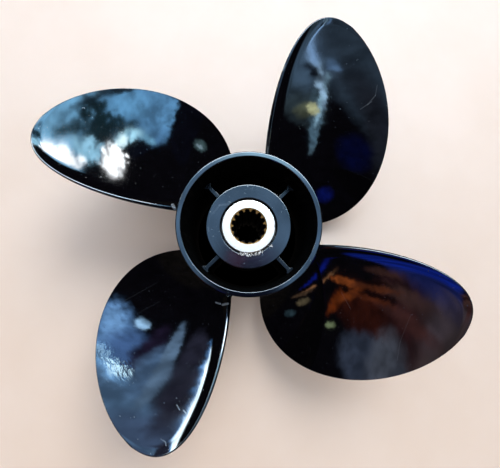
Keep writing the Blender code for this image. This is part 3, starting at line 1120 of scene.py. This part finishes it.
SKY_CARDS = (
    # Straight above, mirrored by the flat rims.
    (87, 84, 26, 15, (0.65, 1.2, 2), 0, 0.3, 0),
    (60, 87.5, 3.6, 3.4, (0.3, 0.33, 0.7), 0, 0.6, 1),
    (97.7, 86.1, 1.3, 1.2, (0.2, 0.11, 0.25), 0, 0.8, 2),
    (-90, 84.5, 7, 7.5, (0.004, 0.006, 0.06), 0, 0.35, 0.3),
    (84, 61.3, 36, 12.2, (2.4, 4.2, 5.7), 0, 0.15, 0),
    (84, 56, 27, 7.5, (20, 23, 26), 0, 0.3, 0),
    # Mirrored by the blade at 135 degrees.
    (65, 42.4, 11, 4.4, (1.5, 3.7, 5.9), -14, 0.3, 2),
    (72, 41, 5, 4, (2, 4.6, 7), -30, 0.4, 2),
    (45.5, 33.5, 12.5, 7.5, (0.9, 2.4, 4.4), -30, 0.14, 2.5),
    (51, 37, 5.5, 3, (1.1, 3, 5.3), -24, 0.6, 3),
    (45.5, 24.4, 3.6, 2.1, (0.7, 1.85, 3.5), -10, 0.7, 2),
    (33.9, 21.6, 18, 5.6, (0.01, 0.012, 0.03), 47, 0.1, 0.8),
    (48.5, 40.6, 11.5, 0.7, (0.08, 0.16, 0.24), -17, 0.6, 3),
    (60.2, 38, 4.2, 3.8, (0.05, 0.15, 0.2), -10, 0.5, 7),
    (56.5, 34.9, 6, 1.8, (0.05, 0.16, 0.22), -38, 0.6, 7),
    (66.5, 41.2, 4.2, 0.9, (0.06, 0.2, 0.3), -24, 0.6, 8),
    (54.5, 26.5, 4.5, 1.9, (0.012, 0.02, 0.05), -25, 0.4, 3),
    (49.8, 27, 2.9, 1, (1.7, 4.2, 6.4), -72, 0.6, 5),
    (54.8, 30.8, 3.9, 1.3, (4, 7.6, 9.6), -22, 0.7, 10),
    (57, 31.3, 1.6, 0.9, (9, 12, 13), -10, 0.7, 6),
    (66, 36.4, 3.6, 1.7, (3.4, 6.8, 9.2), -46, 0.6, 10),
    (62.9, 30.4, 2.8, 2.8, (26, 27, 28), -30, 0.45, 7),
    (71.7, 40.3, 3.6, 1.25, (22, 23, 24), -62, 0.5, 5),
    (30.8, 10.8, 2, 2.6, (0.5, 0.9, 1), 20, 0.95, 3),
    (31.6, 11, 0.7, 1.6, (2.2, 3.2, 3.8), 25, 0.9, 1.5),
    # Mirrored by the blade at 225 degrees.
    (137, 43.3, 10.5, 3.7, (0.68, 1.35, 2.4), -20, 0.25, 0.6),
    (147.5, 46, 5, 2.6, (0.5, 0.85, 1.6), -18, 0.5, 0.4),
    (121.2, 31.2, 6.6, 4.3, (0.8, 1.8, 3.7), -44, 0.8, 4),
    (120.2, 30.2, 4, 2, (1.5, 3.2, 6), -44, 0.95, 7),
    (128, 32, 3.4, 3.6, (0.5, 1.1, 2.6), 0, 0.9, 3),
    (129.8, 37.8, 5.4, 1.3, (1.6, 3.6, 6.6), -14, 0.6, 5),
    (126.4, 36.9, 1.4, 0.7, (3.4, 6, 9), -20, 0.8, 8),
    (132.7, 37.8, 1.8, 0.8, (7, 10.5, 12.5), -15, 0.8, 8),
    (124.9, 24.3, 1.5, 1.2, (3.4, 6, 9), -30, 0.95, 5),
    (132.8, 29.5, 2.3, 7, (0.1, 0.07, 0.2), 10, 0.6, 1.5),
    (137.2, 34.2, 2.3, 5, (0.65, 1.25, 2.3), 12, 0.8, 1),
    (138.4, 30.3, 1.5, 12, (0.9, 1.55, 2.5), 14, 0.25, 1),
    (144.9, 33, 3, 13, (0.14, 0.15, 0.27), 14, 0.25, 0.6),
    (149.6, 34.8, 1.5, 9.4, (1.2, 3.2, 7), 14, 0.4, 3.5),
    (150.5, 35, 1.5, 8.8, (12, 15, 16.5), 14, 0.4, 1.5),
    # Mirrored by the blade at 45 degrees.
    (-25, 50.5, 16, 6, (0.22, 0.36, 0.55), -12, 0.4, 0.4),
    (-47, 45, 13, 2.6, (0.08, 0.1, 0.15), -22, 0.7, 0.4),
    (-16, 42.5, 5.5, 6, (0.4, 0.72, 1.15), 0, 0.45, 0.8),
    (-24.5, 36, 6, 3.4, (0.2, 0.32, 0.4), -20, 0.8, 2),
    (-25.8, 35.4, 1.9, 1.9, (0.6, 0.72, 0.5), -30, 0.95, 3),
    (-37, 26.5, 3.6, 0.9, (0.5, 0.85, 1.1), -68, 0.9, 3),
    (-31.5, 34.5, 7, 1.4, (0.45, 0.85, 1.15), -58, 0.95, 6),
    (-34, 31, 5.8, 1.2, (0.6, 1.15, 1.65), -62, 0.9, 6),
    (-29, 38.9, 5.8, 0.55, (2.2, 3.8, 5), -60, 0.8, 4),
    (-21.4, 44.9, 6.4, 0.5, (3.4, 5.4, 7.6), -37.5, 0.8, 2),
    (-15.2, 48.1, 3, 0.5, (2, 3.6, 6.2), -36, 0.8, 1.5),
    (-22.2, 47.9, 1.2, 0.45, (0.8, 1.5, 2.7), -14, 0.9, 2),
    (-19.4, 45.1, 2.7, 0.65, (0.02, 0.03, 0.06), -16, 0.5, 3),
    (-28, 36.9, 1.5, 0.9, (4.4, 4.6, 2.6), -40, 0.95, 6),
    (-53, 34, 4.8, 3.8, (0.004, 0.014, 0.17), -20, 1, 1.5),
    (-63, 9.5, 3.6, 4, (0.015, 0.04, 0.6), 0, 1, 0.8),
    # Mirrored by the blade at 315 degrees and the barrel beside it.
    (-124, 54.5, 10, 3.4, (0.34, 0.25, 0.27), -10, 0.6, 0.8),
    (-122.8, 53.8, 3.6, 1.2, (0.52, 0.4, 0.5), -14, 0.9, 1),
    (-134, 45, 7.5, 6, (0.21, 0.07, 0.08), -10, 0.7, 1.5),
    (-136.5, 36, 5, 8.5, (0.2, 0.04, 0.02), 10, 0.6, 1.5),
    (-146.8, 44.5, 5.3, 9.5, (0.26, 0.35, 0.58), 12, 0.28, 1.5),
    (-141.5, 47, 3.5, 3, (0.5, 0.58, 0.78), 0, 0.9, 1.5),
    (-129.5, 46, 1, 6.5, (0.36, 0.13, 0.12), 8, 0.8, 1.5),
    (-124.6, 45.5, 1, 6, (0.4, 0.2, 0.18), 14, 0.8, 1.2),
    (-121, 43, 0.7, 6, (0.28, 0.12, 0.1), 14, 0.8, 0.8),
    (-139.8, 26.2, 4.4, 1.6, (0.8, 0.15, 0.025), -14, 0.7, 4),
    (-134.8, 30.6, 5, 1, (1.1, 0.24, 0.05), -48, 0.8, 4),
    (-131.6, 37.5, 0.6, 5.5, (0.62, 0.14, 0.05), 17, 0.7, 1.5),
    (-130.9, 27, 1.2, 4.6, (1.9, 0.45, 0.1), 8, 0.5, 2),
    (-128.1, 37.5, 0.55, 6.5, (0.62, 0.16, 0.06), 17, 0.7, 1.2),
    (-129.8, 38.8, 0.5, 5.5, (0.03, 0.008, 0.008), 17, 0.7, 1),
    (-126.2, 38.5, 0.5, 4.5, (0.05, 0.012, 0.01), 17, 0.7, 1),
    (-133.2, 28.4, 0.8, 1.3, (0.06, 0.02, 0.01), 15, 0.6, 2),
    (-148.5, 28.2, 1.5, 0.75, (1.3, 1.7, 0.9), -50, 0.85, 6),
    (-114, 37, 3.6, 17.5, (0.06, 0.1, 0.6), -6, 0.3, 0.4),
    (-113.3, 30.5, 3.4, 14, (0.03, 0.12, 1.65), -6, 0.4, 0.4),
    (-133.5, 14, 11, 0.8, (0.02, 0.06, 1.1), -39, 0.5, 0.3),
    (-137.5, 15, 9.5, 0.5, (1.6, 0.75, 0.35), -45, 0.6, 0.6),
    (-160.3, 7, 2.6, 1.5, (0.17, 0.34, 0.44), -47, 0.9, 3),
    (-149.8, 10, 3.2, 1.3, (0.6, 0.48, 0.28), -45, 0.9, 3),
    (-146, 8, 6, 0.7, (0.5, 0.3, 0.18), -45, 0.9, 2),
)


@dataclass(frozen=True)
class Lamp:
    """A broad soft light, which glossy paint doesn't mirror, placed by direction in degrees."""

    name: str
    azimuth: float
    elevation: float
    spread: float
    strength: float
    colour: Colour

    def hang(self) -> None:
        """Add the light to the scene."""
        light = bpy.data.lights.new(self.name, "SUN")
        light.angle, light.energy, light.color = math.radians(self.spread), self.strength, self.colour
        lamp = bpy.data.objects.new(self.name, light)
        lamp.rotation_euler = toward(self.azimuth, self.elevation).to_track_quat("Z", "Y").to_euler()
        lamp.visible_glossy = False
        bpy.context.scene.collection.objects.link(lamp)


LAMPS = (
    Lamp("broad_key", 60.0, 50.0, 32.0, 1.45, (1.0, 0.93, 0.85)),
    Lamp("wide_fill", 90.0, 89.0, 170.0, 1.8, (1.0, 0.97, 0.95)),
)


@dataclass
class Studio:
    """The floor, the backdrop, the soft light and the camera at the photograph's angle."""

    shade: Colour = (0.008, 0.007, 0.012)
    ground: Colour = (0.02, 0.017, 0.015)
    bounce: Colour = (0.34, 0.29, 0.26)
    dome_strength: float = 2.0
    blur_size: float = 1 / 30
    blur_reach: float = 0.04
    fray_size: float = 1 / 32
    cloud_size: float = 1 / 14
    horizon: tuple[float, float] = (-0.08, 0.0)
    bounce_top: tuple[float, float] = (-0.42, -0.6)
    bounce_foot: tuple[float, float] = (-0.82, -0.72)
    cloud_ends: tuple[float, float] = (0.32, 0.68)
    cloud_least: float = 0.6
    cloud_range: float = 0.8
    floor_radius: float = 4.0
    floor_opening: float = 50.0 * MM
    wall_height: float = 4.0
    wall_colour: Colour = (0.90, 0.77, 0.68)
    sheet_segments: int = 128
    camera_place: Place = (-4.6 * MM, -38.9 * MM, 386.0 * MM)
    camera_tilt: float = 0.1118
    camera_pan: float = 0.0195
    camera_roll: float = 0.0185
    focal_pixels: float = 390.0
    image_width: int = 500
    sensor_width: float = 36.0
    nearest: float = 10.0 * MM

    def floor(self) -> None:
        """Lay the floor, which glossy paint doesn't mirror."""
        inside, outside = (self.floor_opening, 0.0), (self.floor_radius, 0.0)
        self.ring("plain_floor", inside, outside, PlainFloor("pale_floor")).visible_glossy = False

    def wall(self) -> None:
        """Stand a pale wall round the floor, which only the camera sees."""
        glow = Surface("pale_wall")
        glow.finish(Base_Color=(0.0, 0.0, 0.0), Emission_Color=self.wall_colour, Emission_Strength=1.0)
        top, foot = (self.floor_radius, self.wall_height), (self.floor_radius, 0.0)
        wall = self.ring("plain_wall", top, foot, glow)
        for kind in ("diffuse", "glossy", "transmission", "shadow"):
            setattr(wall, f"visible_{kind}", False)

    def ring(
        self, name: str, first: tuple[float, float], second: tuple[float, float], finish: Surface
    ) -> bpy.types.Object:
        """Add a ring-shaped sheet round the shaft axis.

        Args:
            name: The sheet's name.
            first: Radius and height of one edge.
            second: Radius and height of the other edge.
            finish: Its finish.

        Returns:
            The sheet.
        """
        count = self.sheet_segments
        edges = turned(np.array([first, second]), count)
        faces = [(i, count + i, count + (i + 1) % count, (i + 1) % count) for i in range(count)]
        sheet = placed(name, edges, faces, (finish,))
        return sheet

    def dome(self) -> None:
        """Surround the scene with a dark dome that carries the sky cards, and that only gloss mirrors."""
        world = bpy.data.worlds.new("soft_dome")
        world.use_nodes = True
        bpy.context.scene.world = world
        graph = Graph(world.node_tree)
        direction = graph.node("TexCoord", {}, {}, "Generated")
        blur = graph.noise(direction, self.blur_size, 5.0, output="Color")
        shift = graph.scaled(graph.vector("SUBTRACT", blur, (0.5, 0.5, 0.5)), self.blur_reach)
        fray = graph.noise(direction, self.fray_size, 6.0, 0.65) - 0.5
        moved = graph.vector("ADD", direction, shift)
        height = graph.parts(direction)[2]
        colour = graph.mix(graph.step(height, *self.horizon), self.ground, self.shade)
        band = graph.step(height, *self.bounce_top) * graph.step(height, *self.bounce_foot)
        colour = graph.mix(band, colour, self.bounce)
        for card in SKY_CARDS:
            colour = SkyCard(*card).lay(graph, moved, fray, colour)
        cloud = graph.step(graph.noise(direction, self.cloud_size, 5.0, 0.6), *self.cloud_ends)
        background = world.node_tree.nodes["Background"]
        shaded = graph.scaled(colour, cloud * self.cloud_range + self.cloud_least)
        graph.feed(background.inputs["Color"], shaded)
        background.inputs["Strength"].default_value = self.dome_strength
        world.cycles_visibility.camera = False
        world.cycles_visibility.diffuse = False

    def camera(self) -> None:
        """Set the camera where the photograph was taken."""
        tilt, pan, roll = self.camera_tilt, self.camera_pan, self.camera_roll
        forward = Vector((math.sin(pan), math.sin(tilt) * math.cos(pan), -math.cos(tilt) * math.cos(pan)))
        level_right = forward.cross(Vector((0.0, 1.0, 0.0))).normalized()
        level_up = level_right.cross(forward)
        right = math.cos(roll) * level_right + math.sin(roll) * level_up
        up = math.cos(roll) * level_up - math.sin(roll) * level_right
        lens = bpy.data.cameras.new("photo_camera")
        lens.sensor_width = self.sensor_width
        lens.sensor_fit = "HORIZONTAL"
        lens.lens = self.focal_pixels / self.image_width * self.sensor_width
        lens.clip_start = self.nearest
        camera = bpy.data.objects.new("photo_camera", lens)
        turn = Matrix((right, up, -forward)).transposed().to_4x4()
        camera.matrix_world = Matrix.Translation(self.camera_place) @ turn
        bpy.context.scene.collection.objects.link(camera)
        bpy.context.scene.camera = camera
        bpy.context.scene.view_settings.view_transform = "Standard"


def main() -> None:
    """Build every piece, the floor, the light and the camera."""
    logging.basicConfig(level=logging.INFO, format="%(message)s")
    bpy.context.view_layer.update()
    sizes = Measures()
    casting = Casting(sizes)
    casting.barrel()
    casting.inner_hub()
    for number in BLADE_SCRATCHES_AND_GLINTS:
        azimuth = FIRST_AZIMUTH + (number - 1) * math.tau / len(BLADE_SCRATCHES_AND_GLINTS)
        casting.rib(number, azimuth)
        Blade(sizes).build(number, azimuth)
    mount = ShaftMount(sizes)
    mount.sleeve()
    mount.bushing()
    mount.shreds()
    studio = Studio()
    studio.floor()
    studio.wall()
    studio.dome()
    for lamp in LAMPS:
        lamp.hang()
    studio.camera()


if __name__ == "__main__":
    main()
